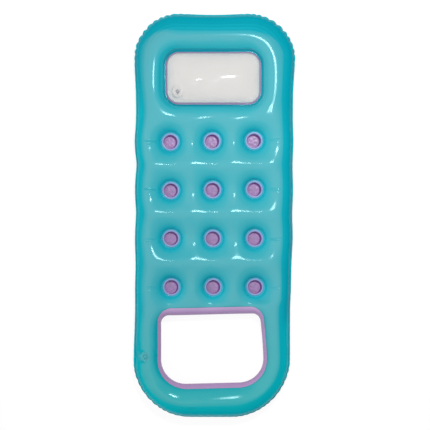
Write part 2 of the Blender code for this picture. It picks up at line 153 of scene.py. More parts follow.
DRIFT_SLANT = (0, 0.1, 0.0, 1.0, 1.0, 0.9, 0)  # how much the rows of pockets slant there
PLEAT_DEPTH = 0.004
PLEAT_WIDTH = 0.0022
PLEATS = (
    (-1, 0, 0.001, 0.02, 1.0, 0.236, 0.322), (-1, 0, -0.014, -0.12, 0.5, 0.262, 0.312),
    (-1, 1, 0.004, 0.03, 1.2, 0.236, 0.324), (-1, 1, -0.012, -0.1, 0.4, 0.268, 0.31),
    (-1, 2, -0.002, 0.05, 0.7, 0.24, 0.318), (-1, 2, -0.013, -0.06, 0.6, 0.25, 0.318),
    (-1, 3, 0.001, 0.02, 0.6, 0.24, 0.315), (-1, 3, -0.01, -0.08, 0.4, 0.255, 0.305),
    (1, 0, 0.003, 0.06, 0.7, 0.24, 0.318), (1, 0, -0.006, -0.05, 0.4, 0.25, 0.306),
    (1, 1, 0.002, -0.02, 0.7, 0.244, 0.32), (1, 1, -0.008, -0.1, 0.5, 0.25, 0.314),
    (1, 2, 0.001, 0.08, 0.6, 0.24, 0.322), (1, 2, -0.008, -0.06, 0.7, 0.24, 0.314),
    (1, 3, 0.0, 0.03, 0.5, 0.24, 0.312), (1, 3, -0.01, -0.09, 0.3, 0.25, 0.306),
)  # side, row, shift along Y, slant, strength, where it starts and ends from the middle line

# How finely the films are cut: steps of each loop in its corners and along its sides, and the rows beside it
OUTLINE_STEPS = (0.0026, 0.006)
WINDOW_STEPS = (0.0045, 0.0058)
PILLOW_STEPS = (0.0038, 0.0055)
FLANGE_STEPS = (0.0045, 0.007)
TOP_PITCH = 0.0058
UNDER_PITCH = 0.01
PILLOW_PITCH = 0.0045
DEPTHS = np.array(
    [0, 0.07, 0.147, 0.152, 0.165, 0.19, 0.225, 0.27, 0.33, 0.4, 0.48, 0.57, 0.67, 0.78, 0.89, 1]
)  # shares of the depth of the rows along the outer weld
WELD_SHARE = 0.147  # the one where the weld ends
STRIP_DEPTH = 0.0476  # of the rows along the outer weld
VALVE_STRIP = 0.019  # the same beside the main valve
ROLL_SHARES = np.array(
    [0, 0.0025, 0.01, 0.0225, 0.04, 0.0625, 0.09, 0.13, 0.18, 0.25, 0.34, 0.45, 0.58, 0.72, 0.86, 1]
)  # shares of the way across the band inside the window
PAST_LAP = (0.0045, 0.0105)
ROUND_PILLOW = (0, 0.003, 0.0058, 0.0064, 0.0074, 0.009, 0.0112, 0.014, 0.0175, 0.022, 0.028)
ROUND_FLANGE = (0, 0.006, 0.0118, 0.0125, 0.014, 0.017, 0.021, 0.026, 0.033)
UNDER_WINDOW = (0, 0.0004, 0.0016, 0.0036, 0.0064, 0.01, 0.0144, 0.0196, 0.026)
IN_PILLOW = (0, 0.003, 0.0058, 0.0062, 0.007, 0.0085, 0.011, 0.0145, 0.019)
POCKET_RADII = (HOLE_RADIUS, 0.0408, 0.0414, 0.0422, 0.0434, 0.045, 0.0472, 0.05, 0.0535, 0.058, 0.0635)
UNDER_RADII = (HOLE_RADIUS, 0.0345, 0.037, 0.04, 0.044, 0.049, 0.056, 0.065)
VALVE_RADII = (WELL_HOLE, 0.012, 0.017, 0.021, 0.0235, 0.0265, 0.03)
POCKET_COLUMNS = 56
RING_COLUMNS = 40  # round the valves, and round the pockets underneath
TURNS = 72  # steps round a turned piece
TOUCH = 1e-5  # a point that is nearer to a weld than this lies on it
RNG = np.random.default_rng(20)


# Plan of the films

def smooth(t):
    """A step with level ends: 3t^2 - 2t^3 of t held between 0 and 1."""
    t = np.clip(t, 0, 1)
    return t * t * (3 - 2 * t)


def bell(away, width):
    """A bell curve, exp(-(away / width)^2)."""
    return np.exp(-((away / width) ** 2))


def behind_window(y):
    """1 at the foot end, behind the window, and 0 from there on."""
    return smooth((-0.73 - y) / 0.06)


def grown(box, by):
    """The rounded box moved out by a distance on every side, or in where it is negative."""
    (x0, y0), (x1, y1) = box["low"], box["high"]
    corners = tuple(max(radius + by, 0.004) for radius in box["corners"])
    return {"low": (x0 - by, y0 - by), "high": (x1 + by, y1 + by), "corners": corners}


def swell(y):
    """Width of the outline as a share: a straight taper, and one cosine wave for each row of pockets."""
    beside_rows = (y < FIRST_Y + ROW_PITCH / 2) & (y > LAST_Y - ROW_PITCH / 2)
    wave = np.where(beside_rows, np.cos(2 * np.pi * (y - FIRST_Y) / ROW_PITCH) - 1, -2)
    return 1 + TAPER * y / LENGTH + SIDE_WAVE / WIDTH * (wave + 2)


def depth_in(box, x, y):
    """Distance from a point to the edge of a rounded box, positive inside it."""
    (x0, y0), (x1, y1) = box["low"], box["high"]
    radius = np.where(y > (y0 + y1) / 2, *box["corners"])
    across = np.abs(x - (x0 + x1) / 2) - (x1 - x0) / 2 + radius
    along = np.abs(y - (y0 + y1) / 2) - (y1 - y0) / 2 + radius
    outside = np.hypot(np.maximum(across, 0), np.maximum(along, 0))
    return radius - outside - np.minimum(np.maximum(across, along), 0)


def to_welds(x, y):
    """Distances to the outer weld, to the one round the pillow and to the window's edge."""
    outer = depth_in(OUTLINE, x / swell(y), y) - SEAM
    return outer, -depth_in(grown(PILLOW, LAP), x, y), -depth_in(WINDOW, x, y)


def from_rings(x, y):
    """Distances to the pockets' flanges, a row for each pocket."""
    return np.stack([np.hypot(x - px, y - py) - FLANGE_RADIUS for _, _, px, py in POCKETS])


def corners_of(box):
    """(centre x, centre y, radius, start angle) of the corners, anticlockwise from the foot's right one."""
    (x0, y0), (x1, y1) = box["low"], box["high"]
    head, foot = box["corners"]
    turns = [(x1 - foot, y0 + foot, foot, -90), (x1 - head, y1 - head, head, 0)]
    return turns + [(x0 + head, y1 - head, head, 90), (x0 + foot, y0 + foot, foot, 180)]


def round_the_box(box, steps, like=None):
    """(points, normals) round a rounded box, anticlockwise: even steps in its quarter circles and its sides.

    With like, it takes as many steps in each of them as that box would.
    """
    model = like or box
    arcs = []
    for (x, y, radius, start), (_, _, modelled, _) in zip(corners_of(box), corners_of(model)):
        count = max(6, round(modelled * math.pi / 2 / steps[0]))
        angle = np.radians(start + np.linspace(0, 90, count + 1))
        normal = np.stack([np.cos(angle), np.sin(angle)], axis=1)
        arcs.append((np.array([x, y]) + radius * normal, normal))
    (x0, y0), (x1, y1) = model["low"], model["high"]
    head, foot = model["corners"]
    lengths = [y1 - y0 - head - foot, x1 - x0 - 2 * head, y1 - y0 - head - foot, x1 - x0 - 2 * foot]
    points, normals = [], []
    for (arc, turn), (following, _), length in zip(arcs, arcs[1:] + arcs[:1], lengths):
        count = max(2, round(length / steps[1]))
        share = np.linspace(0, 1, count + 1)[1:-1, None]
        points += [arc, arc[-1] + (following[0] - arc[-1]) * share]
        normals += [turn, np.repeat(turn[-1:], count - 1, axis=0)]
    return np.concatenate(points), np.concatenate(normals)


def rows_beside(points, normals, depths):
    """A grid of plan points: each row is the loop moved along its normals, inwards for a positive depth."""
    return points - normals * np.reshape(depths, (len(depths), -1, 1))


def rings_round(place, radii, columns):
    """A grid of plan points on circles round a place, clockwise."""
    angle = 2 * np.pi * np.arange(columns) / columns
    unit = np.stack([np.cos(angle), np.sin(angle)], axis=1)
    return (np.array(place) + np.array(radii)[:, None, None] * unit)[:, ::-1]


# Height of the films

def tube(depth, radius):
    """Height of a round tube's wall above its weld: sqrt(2 r d) near the weld, levelling out at r."""
    depth = np.maximum(depth, 1e-12)
    return np.sqrt(2 * radius * depth) / (1 + (2 * depth / radius) ** 2) ** 0.25


def lower_film(x, y):
    """The underside's depth under the weld plane.

    Tube walls rise from every weld, joined by a power mean in which the lowest one wins. Round each pocket
    the film is drawn up by 1 - exp(-distance / reach), multiplied over the pockets.
    """
    lowering = sum((TUBE_BELOW / tube(depth, TUBE_BELOW)) ** BLEND_BELOW - 1 for depth in to_welds(x, y))
    height = TUBE_BELOW * (1 + lowering) ** (-1 / BLEND_BELOW)
    rise = 1.0
    for _, _, px, py in POCKETS:
        away = np.maximum(np.hypot(x - px, y - py) - HOLE_RADIUS, 0)
        rise = rise * (1 - np.exp(-away / DIMPLE_REACH))
    return height * (rise + (1 - rise) * HOLD / np.maximum(height, HOLD))


def push_at(y):
    """How hard the air lifts the film along Y: 1 round the pillow, less over the pockets, more at foot."""
    head, foot = smooth((y - 0.3) / 0.14), smooth((-0.36 - y) / 0.12)
    return 0.86 + 0.14 * head + 0.78 * foot - 0.32 * behind_window(y)


def blown(plan, triangles, held, level, push):
    """What air makes of a film that is held at its welds: a value s whose root is the film's height.

    The Laplacian of s is minus the push, and s keeps its level at the held points. In a long rail that makes
    the height an ellipse, and round a pocket a bowl. The cotangents of the triangles' corners stand for the
    Laplacian, and conjugate gradients solve it.
    """
    count = len(plan)
    starts, ends, weights, load = [], [], [], np.zeros(count)
    for corner in range(3):
        a, b, c = (triangles[:, (corner + k) % 3] for k in range(3))
        one, other = plan[b] - plan[a], plan[c] - plan[a]
        cross = np.maximum(np.abs(one[:, 0] * other[:, 1] - one[:, 1] * other[:, 0]), 1e-12)
        starts.append(b)
        ends.append(c)
        weights.append((one * other).sum(axis=1) / cross / 2)
        load += np.bincount(a, cross / 6, count)
    starts, ends, weights = map(np.concatenate, (starts, ends, weights))
    own = np.bincount(starts, weights, count) + np.bincount(ends, weights, count)

    def pull(s):
        ahead = np.bincount(starts, weights * s[ends], count)
        return own * s - ahead - np.bincount(ends, weights * s[starts], count)

    free = ~held
    s = np.where(held, level, 0.0)
    rest = np.where(free, load * push - pull(s), 0.0)
    scale = np.where(free, 1 / np.maximum(own, 1e-9), 0.0)
    step = rest * scale
    gain = first = rest @ step
    for _ in range(2500):
        change = np.where(free, pull(step), 0.0)
        share = gain / (step @ change)
        s = s + share * step
        rest = rest - share * change
        ready = rest * scale
        gain, before = rest @ ready, gain
        if gain < first * 1e-11:
            break
        step = ready + gain / before * step
    return np.maximum(s, 0)


def skewed(x, y, to_seam, to_pillow, to_window):
    """A factor that moves the rails' crests: 1 + k (a - b) / (a + b), a and b the distances to two welds.

    a is to the outer one and b to the inner ones. k is positive round the pillow, which moves the crest
    inwards, and negative beside the pockets.
    """
    near = [np.maximum(gap, 1e-4) ** -4 for gap in (to_pillow, to_window, *from_rings(x, y))]
    inner, outer = sum(near) ** -0.25, np.maximum(to_seam, 1e-6)
    k = SKEW_FIELD + (SKEW_HEAD - SKEW_FIELD) * smooth((y - 0.36) / 0.14)
    k = k + (SKEW_FOOT - SKEW_FIELD) * smooth((-0.36 - y) / 0.1) + SKEW_END * behind_window(y)
    return 1 + k * (outer - inner) / (outer + inner)


def ripples(x, y):
    """Small waves round each pocket's ring, and a slow unevenness of the whole film, as sums of cosines."""
    lift = 0.0007 * np.cos(19 * x + 7 * y + 0.6) * np.cos(11 * y - 5 * x)
    lift = lift + 0.0004 * np.cos(43 * x - 17 * y + 1.9) * np.cos(31 * y + 9 * x)
    lift = lift * (1 - 0.7 * smooth((np.abs(y) - 0.38) / 0.08))
    for row, column, px, py in POCKETS:
        away, angle = np.hypot(x - px, y - py), np.arctan2(y - py, x - px)
        near = np.exp(-np.maximum(away - FLANGE_RADIUS, 0) / 0.009)
        count, turn = 9 + (row * 5 + column * 3) % 4, row * 1.7 + column * 2.9
        lift = lift + 0.00055 * near * np.cos(count * angle + turn) * (0.6 + 0.4 * np.cos(2 * angle - turn))
    return lift


def pleat_line(out, row, shift, slant):
    """Y of a pleat at a distance from the middle line."""
    return FIRST_Y - row * ROW_PITCH + shift + slant * (out - 0.28)


def pleats(x, y):
    """Short grooves between the outer pockets and the rails: a bell less a wider one across, a bump along."""
    groove, out = 0.0, np.abs(x)
    for side, row, shift, slant, strength, start, end in PLEATS:
        away = y - pleat_line(out, row, shift, slant)
        across = bell(away, PLEAT_WIDTH) - 0.45 * bell(away, 2.4 * PLEAT_WIDTH)
        along = smooth((out - start) / 0.018) * smooth((end - out) / 0.022)
        groove = groove + np.where(x * side > 0, strength * across * along, 0)
    return PLEAT_DEPTH * groove


def pleat_points():
    """Extra plan points along each pleat: lines beside its groove, close enough to carry it."""
    made = []
    across = PLEAT_WIDTH * np.array([-2.6, -1.6, -0.8, 0, 0.8, 1.6, 2.6])
    for side, row, shift, slant, _, start, end in PLEATS:
        out, offset = np.meshgrid(np.arange(start, end, 0.004), across, indexing="ij")
        y = pleat_line(out, row, shift, slant) + offset
        made.append(np.stack([side * out.ravel(), y.ravel()], axis=1))
    made = np.concatenate(made)
    _, first = np.unique(np.round(made / 0.0012).astype(int), axis=0, return_index=True)
    return made[first]


def crests(x, y, to_seam):
    """What lies on the blown film: ridges, waves and swellings.

    Bell-shaped ridges run half-way between two rows and fade towards the side rails. Cosine waves lift or
    deepen the saddles between two columns, by the shares of COLUMN_SHARES, and a bump (1 - t^2)^2 lifts the
    rails beside the pillow. The swellings are height times exp(-(distance / width)^2), and one more ridge
    follows the foot end.
    """
    lines = FIRST_Y - ROW_PITCH * (np.arange(ROWS - 1)[:, None] + 0.5)
    ridges = RIDGE * bell(y - lines, RIDGE_WIDTH).sum(axis=0) * smooth((0.335 - np.abs(x)) / 0.08)
    field = smooth((0.4 - y) / 0.06) * smooth((y + 0.39) / 0.06)
    columns = sum(bell(x - side * COLUMN_PITCH / 2, 0.034) for side in (-1, 1))
    wave = COLUMN_LIFT / 2 * (1 + np.cos(2 * np.pi * (y - FIRST_Y) / ROW_PITCH)) * columns * field
    t = np.clip((y - 0.62) / 0.155, -1, 1)
    rails = RAIL_LIFT * (1 - t * t) ** 2 * smooth((np.abs(x) - 0.222) / 0.03)
    swollen = 0
    for px, py, height, width in SWELLINGS:
        swollen = swollen + height / 1000 * np.exp(-((x - px) ** 2 + (y - py) ** 2) * 1e6 / width**2)
    middle, width = FOOT_CREST
    end = FOOT_RIDGE * bell(to_seam - middle, width) * behind_window(y)
    return ridges + wave * np.interp(y, *COLUMN_SHARES) + rails + swollen + end


def seated(height, x, y, valve, level):
    """The height with level ground for a valve: a smooth step from the level to the film round it."""
    away = np.hypot(x - valve[0], y - valve[1])
    return level + (height - level) * smooth((away - SEAT_RADIUS) / (SEAT_BLEND - SEAT_RADIUS))


def valve_level(prefix):
    """Height over the weld plane of the film's outer face under a valve's flange, from the CAD base."""
    low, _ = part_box(f"{prefix}_base")
    return low.z + WELL_DEPTH - GAP - UPPER_FACE


def upper_height(plan, triangles):
    """Height of the upper skin: the root of what air makes of it, levelled off, and curved to its welds."""
    x, y = plan.T
    to_seam, to_pillow, to_window = to_welds(x, y)
    to_ring = from_rings(x, y).min(axis=0) - GAP
    to_weld = np.minimum.reduce([to_seam, to_pillow, to_window])
    on_ring = to_ring < TOUCH
    level = np.where(on_ring, (HOLD / ROUNDNESS) ** 2, 0)
    value = blown(plan, triangles, (to_weld < TOUCH) | on_ring, level, push_at(y))
    height = ROUNDNESS * np.sqrt(value * skewed(x, y, to_seam, to_pillow, to_window))
    height = height / (1 + (height / TALLEST) ** 10) ** 0.1 + crests(x, y, to_seam)
    height = height * smooth((to_seam + 0.0006) / SEAM_FILLET) * smooth((to_pillow + 0.0004) / PILLOW_FILLET)
    height = np.where(on_ring, HOLD, HOLD + (height - HOLD) * smooth((to_ring + 0.0002) / RING_FILLET))
    free = smooth(to_weld / 0.02) * smooth(to_ring / 0.007)
    height = height + (ripples(x, y) - pleats(x, y)) * free
    return seated(height, x, y, MAIN_VALVE, valve_level("main_valve"))


def pillow_height(plan, triangles):
    """The pillow's film: blown from its rim, with a soft ridge along it and two bulges on the ridge."""
    x, y = plan.T
    inner = depth_in(grown(PILLOW, -LAP), x, y)
    s = blown(plan, triangles, inner < TOUCH, 0.0, 1.0)
    height = PILLOW_CREST * (s / s.max()) ** PILLOW_SHAPE
    bulges = 0.0051 * bell(x + 0.094, 0.032) + 0.0014 * bell(x - 0.037, 0.027)
    ridge = bell(y - 0.6114 - 0.137 * x, 0.036)
    return height + smooth(inner / 0.09) * (0.0022 + bulges) * ridge


# Gathers in the outer weld

def gathers(points):
    """(notch, crease, ruffle) at each point of the outline, from cusps at uneven steps along it.

    Between two cusps, t runs from 0 to 1. The notch is |2t - 1|^1.7, the crease |2t - 1|^6, and the ruffle a
    cosine that turns over once in two steps. Bell curves round the four corners say how strong they are.
    """
    steps = np.linalg.norm(np.roll(points, -1, axis=0) - points, axis=1)
    total, place = steps.sum(), np.concatenate([[0], np.cumsum(steps)[:-1]])
    cusps = np.cumsum(RNG.uniform(0.68, 1.32, int(total / TOOTH_PITCH) + 1))
    cusps = np.concatenate([[0], cusps / cusps[-1] * total])
    sizes = RNG.uniform(0.45, 1.0, len(cusps) - 1)
    sizes = np.append(sizes, sizes[0])
    index = np.clip(np.searchsorted(cusps, place, side="right") - 1, 0, len(cusps) - 2)
    t = (place - cusps[index]) / (cusps[index + 1] - cusps[index])
    strength = SIDE_TOOTH
    for x, y, depth, spread in TOOTH_ZONES:
        away = np.hypot(points[:, 0] - x, points[:, 1] - y)
        strength = strength + depth * np.exp(-((away / spread) ** 4))
    cusp = np.abs(2 * t - 1)
    strong = strength * np.where(t < 0.5, sizes[index], sizes[index + 1])
    return strong * cusp**1.7, strong * cusp**6, strength * np.cos(np.pi * (index + t))


def weld_shape(around, normals, depth):
    """How the rows along the outer weld leave their smooth form: the move in plan, the dent and the wave.

    The notches fade inwards as exp(-depth / reach), and half a sine bellies the wall out. The dent is
    t exp(1 - t) past the weld. The wave is the free edge, which goes up and down and droops.
    """
    notch, crease, ruffle = gathers(around)
    fade = smooth((1 - DEPTHS) / 0.8)[:, None]
    past, inner = depth - SEAM, depth[-1:] - SEAM
    belly = WALL_BULGE * np.sin(np.pi * np.clip(past / inner / 0.84, 0, 1)) * inner / (STRIP_DEPTH - SEAM)
    pull = ((belly - notch * np.exp(-depth / NOTCH_REACH)) * fade)[..., None] * normals
    t = np.maximum(past, 0) / CREASE_WIDTH
    dent = crease / HEAD_TOOTH * CREASE_DEPTH * t * np.exp(1 - t) * fade
    wave = ruffle / HEAD_TOOTH * RUFFLE * smooth(1 - depth / RUFFLE_WIDTH) + DROOP * np.minimum(past, 0)
    return pull.reshape(-1, 2), dent.ravel(), wave.ravel()


def settled(points):
    """Moves plan points as the blown-up mattress lies: it is not quite even from side to side.

    The edges move by straight steps between the places of SETTLED_SIDES, averaged over 24 mm, and that fades
    out further in. The upper rows of pockets have drifted a few millimetres. The foot window leans: its right
    side moves to the left at the head end, and its right half up. The head edge is drawn in by a cosine
    squared bump. The film round the main valve stays.
    """
    x, y = points[..., 0], points[..., 1]
    edge = smooth(1 - np.maximum(depth_in(OUTLINE, x / swell(y), y), 0) / EDGE_REACH)
    place, *sides = np.array(SETTLED_SIDES)[::-1].T
    shift = 0
    for toward, side in zip((-1, 1), sides):
        mean = sum(np.interp(y + step, place, side) for step in (-0.012, 0, 0.012)) / 3
        shift = shift + smooth(toward * x / 0.18) * mean / 1000
    below, across = smooth((-0.375 - y) / 0.05), np.clip((x + 0.24) / 0.48, 0, 1)
    inside_x = below * (WINDOW_SHIFT + (np.interp(y, *WINDOW_LEAN) - WINDOW_SHIFT) * across)
    inside_x = inside_x + np.interp(y, DRIFT_AT, DRIFT_X)
    inside_y = WINDOW_RISE * smooth(across) * below + 0.0025 * x / 0.19 * np.interp(y, DRIFT_AT, DRIFT_SLANT)
    bump = np.cos(np.pi * np.clip(x / 0.42, -0.5, 0.5)) ** 2 * smooth((y - 0.78) / 0.135)
    still = smooth((np.hypot(x - MAIN_VALVE[0], y - MAIN_VALVE[1]) - 0.028) / 0.028)
    move_x = shift * edge + inside_x * (1 - edge)
    move_y = inside_y * (1 - edge) - HEAD_HOLLOW * bump
    return np.stack([x + move_x * still, y + move_y * still], axis=-1)


# Meshes

def grid_faces(rows, columns):
    """Quads between the rows of a grid that closes round its columns."""
    first = np.arange(rows - 1)[:, None] * columns + np.arange(columns)
    following = np.arange(rows - 1)[:, None] * columns + (np.arange(columns) + 1) % columns
    return np.stack([first, following, following + columns, first + columns], axis=-1).reshape(-1, 4)


def crossings(loops, x, y):
    """How often a ray from each point towards +X crosses the closed loops."""
    ax, ay = np.concatenate(loops).T
    bx, by = np.concatenate([np.roll(loop, -1, axis=0) for loop in loops]).T
    rise = np.where(by == ay, 1, by - ay)
    count = np.empty(len(x), int)
    for part in np.array_split(np.arange(len(x)), max(1, len(x) // 6000)):
        px, py = x[part, None], y[part, None]
        count[part] = (((ay > py) != (by > py)) & (px < ax + (py - ay) / rise * (bx - ax))).sum(axis=1)
    return count


def filled_between(loops, grid):
    """Triangles that fill the plan between closed loops, with grid points inside: constrained Delaunay."""
    edges, first = [], 0
    for loop in loops:
        edges += [(first + k, first + (k + 1) % len(loop)) for k in range(len(loop))]
        first += len(loop)
    points = np.concatenate([*loops, grid])
    found, _, faces, *_ = delaunay_2d_cdt(points.tolist(), edges, [], 0, 1e-8, False)
    found, faces = np.array(found), np.array(faces)
    assert len(found) == len(points), "two loops of the plan cross"
    return faces[crossings(loops, *found[faces].mean(axis=1).T) % 2 == 1]


def staggered(low, high, pitch):
    """Points of a grid in which every second row is shifted by half a step."""
    up, along = np.arange(low[1], high[1], pitch * math.sqrt(3) / 2), np.arange(low[0], high[0], pitch)
    rows, columns = np.meshgrid(up, along, indexing="ij")
    columns = columns + pitch / 2 * (np.arange(len(rows)) % 2)[:, None]
    return np.stack([columns.ravel(), rows.ravel()], axis=1)


def clear_of(grid, taken, distance):
    """The grid points that are further than a distance from every taken point."""
    keep = np.ones(len(grid), bool)
    for part in np.array_split(np.arange(len(grid)), max(1, len(grid) // 3000)):
        gap = grid[part, None] - taken[None]
        keep[part] = (gap**2).sum(axis=2).min(axis=1) > distance**2
    return grid[keep]


def plan_of(strips, pitch, refilled=(), extra=np.empty((0, 2))):
    """The plan of a film: strips of rows along its welds, and triangles between their last rows.

    A strip that is named in refilled has its inside filled too, and extra points join the grid. Gives the
    points, the triangles of all, and for each strip the place of its first point.
    """
    starts, start = {}, 0
    loops, at, parts = [], [], []
    for name, strip in strips.items():
        rows, columns = strip.shape[:2]
        quads = grid_faces(rows, columns) + start
        parts += [quads[:, :3], quads[:, [0, 2, 3]]]
        for row in (0, rows - 1) if name in refilled else (rows - 1,):
            loops.append(strip[row])
            at.append(start + row * columns + np.arange(columns))
        starts[name] = start
        start += rows * columns
    taken = np.concatenate(loops)
    grid = staggered(taken.min(axis=0), taken.max(axis=0), pitch)
    grid = grid[crossings(loops, *grid.T) % 2 == 1]
    extra = clear_of(extra, taken, 0.0015)
    grid = np.concatenate([clear_of(grid, np.concatenate([taken, extra]), pitch * 0.45), extra])
    where = np.concatenate([*at, start + np.arange(len(grid))])
    points = np.concatenate([*(strip.reshape(-1, 2) for strip in strips.values()), grid])
    triangles = np.concatenate([*parts, where[filled_between(loops, grid)]])
    a, b, c = (points[triangles[:, k]] for k in range(3))
    area = (b[:, 0] - a[:, 0]) * (c[:, 1] - a[:, 1]) - (b[:, 1] - a[:, 1]) * (c[:, 0] - a[:, 0])
    return points, np.where((area < 0)[:, None], triangles[:, ::-1], triangles), starts


def new_object(name, data):
    """A new object in the scene."""
    made = bpy.data.objects.new(name, data)
    bpy.context.scene.collection.objects.link(made)
    return made


def add_mark(mesh, mark, values):
    """One number for each point of a mesh, which its material reads by name."""
    values = np.ascontiguousarray(values, np.float32)
    mesh.attributes.new(mark, "FLOAT", "POINT").data.foreach_set("value", values)


def turned_out(mesh):
    """Points all faces of a closed mesh outwards."""
    turner = bmesh.new()
    turner.from_mesh(mesh)
    bmesh.ops.recalc_face_normals(turner, faces=turner.faces)
    turner.to_mesh(mesh)
    turner.free()


def make_piece(name, points, faces, material, body="lounger", wall=None, marks=None):
    """A mesh of the points that its faces use, with its marks as attributes.

    A quad with two corners in one point becomes a triangle. A film has a wall inside its outer face, and two
    more
    marks: how steep it is, and how far it leans to the right, which set painted light and shade in the films'
    colours. Any other piece is closed, and is turned out.
    """
    used, at = np.unique(faces, return_inverse=True)
    polygons = [tuple(dict.fromkeys(face)) for face in at.reshape(faces.shape).tolist()]
    mesh = bpy.data.meshes.new(name)
    mesh.from_pydata(points[used].tolist(), [], [face for face in polygons if len(face) > 2])
    for mark, values in (marks or {}).items():
        add_mark(mesh, mark, values[used])
    if not wall:
        turned_out(mesh)
    mesh.materials.append(material)
    mesh.shade_smooth()
    mesh.update()
    piece = new_object(name, mesh)
    if wall:
        shell = piece.modifiers.new("wall", "SOLIDIFY")
        shell.thickness = wall
        shell.offset = -1
        shell.use_even_offset = True
        normals = np.empty(len(mesh.vertices) * 3, np.float32)
        mesh.vertex_normals.foreach_get("vector", normals)
        along_x, _, up = normals.reshape(-1, 3).T
        add_mark(mesh, "steep", 1 - np.abs(up))
        # lean, stronger towards the ends, sets painted light and shade on the teal film's walls
        add_mark(mesh, "lean", along_x * (0.35 + 0.65 * smooth((np.abs(points[used][:, 1]) - 0.42) / 0.12)))
    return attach(piece, body)


def turned(name, profile, place, material, body, shape=None, marks=None, extra=None):
    """A piece turned from a closed profile of (radius, height) about an upright axis; the poles are closed.

    shape, if given, moves the turned points; extra adds points and faces of another closed part.
    """
    angle = 2 * np.pi * np.arange(TURNS) / TURNS
    radius, height = profile[:, :1], profile[:, 1:]
    points = np.stack([radius * np.cos(angle), radius * np.sin(angle), height + 0 * angle], axis=-1)
    if shape:
        points = shape(points)
    points = points.reshape(-1, 3) + np.array(place)
    poles = profile[0, 0] == 0
    faces = grid_faces(len(profile) + (not poles), TURNS) % len(points)
    if poles:
        at = np.arange(len(points))
        at[:TURNS], at[-TURNS:] = 0, len(points) - TURNS
        faces = at[faces]
    if extra:
        faces = np.concatenate([faces, extra[1] + len(points)])
        points = np.concatenate([points, extra[0]])
    return make_piece(name, points, faces, material, body, marks=marks)


# Materials

class Nodes:
    """Short hands for the nodes of a material or of the world."""

    def __init__(self, owner, shader="Principled BSDF"):
        owner.use_nodes = True
        self.owner, self.tree = owner, owner.node_tree
        self.shader = self.tree.nodes[shader]

    def put(self, value, socket):
        """Links an output to a socket, or sets a number, a colour or a direction on it."""
        if isinstance(value, (int, float)):
            socket.default_value = value
        elif isinstance(value, tuple):
            socket.default_value = (*value, 1) if socket.type == "RGBA" else value
        else:
            self.tree.links.new(value, socket)

    def node(self, kind, sockets, out=0, **settings):
        """An output of a new node, with its settings and what its input sockets get."""
        made = self.tree.nodes.new(kind)
        for key, value in settings.items():
            setattr(made, key, value)
        for key, value in sockets.items():
            self.put(value, made.inputs[key])
        return made.outputs[out]

    def attribute(self, name):
        return self.node("ShaderNodeAttribute", {}, "Fac", attribute_name=name)

    def place(self):
        return self.node("ShaderNodeTexCoord", {}, "Object")

    def noise(self, scale, detail=3.0, roughness=0.5):
        """Noise with so many cells to a metre."""
        sockets = {"Vector": self.place(), "Scale": scale, "Detail": detail, "Roughness": roughness}
        return self.node("ShaderNodeTexNoise", sockets, "Fac")

    def waves(self, pitch, distortion):
        """Parallel waves across X of a pitch in metres, bent by some distortion."""
        sockets = {"Vector": self.place(), "Scale": math.pi / (10 * pitch), "Distortion": distortion}
        sockets.update({"Detail": 1.5, "Detail Scale": 1.5})
        return self.node("ShaderNodeTexWave", sockets, "Fac", bands_direction="X")

    def ramp(self, value, *stops):
        """A colour for each place of a value, eased between the stops."""
        made = self.tree.nodes.new("ShaderNodeValToRGB")
        made.color_ramp.interpolation = "EASE"
        elements = made.color_ramp.elements
        while len(elements) < len(stops):
            elements.new(0.5)
        for element, (position, colour) in zip(elements, stops):
            element.position = position
            element.color = (*colour, 1)
        self.put(value, made.inputs["Fac"])
        return made.outputs["Color"]

    def mix(self, share, one, other, blend="MIX"):
        return self.node("ShaderNodeMix", {0: share, 6: one, 7: other}, 2, data_type="RGBA", blend_type=blend)

    def math(self, operation, one, other=0.0):
        return self.node("ShaderNodeMath", {0: one, 1: other}, operation=operation)

    def times(self, one, other):
        return self.math("MULTIPLY", one, other)

    def span(self, value, low, high, start=0.0, end=1.0, **settings):
        """The value spread so that start gives low and end gives high, and held there."""
        sockets = {"Value": value, "From Min": start, "From Max": end, "To Min": low, "To Max": high}
        return self.node("ShaderNodeMapRange", sockets, "Result", **settings)

    def bump(self, height, distance, strength=1.0, under=None):
        """A bumpy normal, on top of the one that lies under it."""
        sockets = {"Distance": distance, "Strength": strength, "Height": height}
        return self.node("ShaderNodeBump", sockets | ({"Normal": under} if under else {}), "Normal")

    def finish(self, colour, roughness, normal, alpha=1.0, **constants):
        """Joins colour, roughness, normal and alpha to the shader, and sets constants on its own sockets."""
        given = {"Base Color": colour, "Roughness": roughness, "Normal": normal, "Alpha": alpha}
        for key, value in given.items():
            self.put(value, self.shader.inputs[key])
        for key, value in constants.items():
            self.shader.inputs[key.replace("_", " ")].default_value = value
        return self.owner


def material(name):
    """The nodes of a new material."""
    return Nodes(bpy.data.materials.new(name))


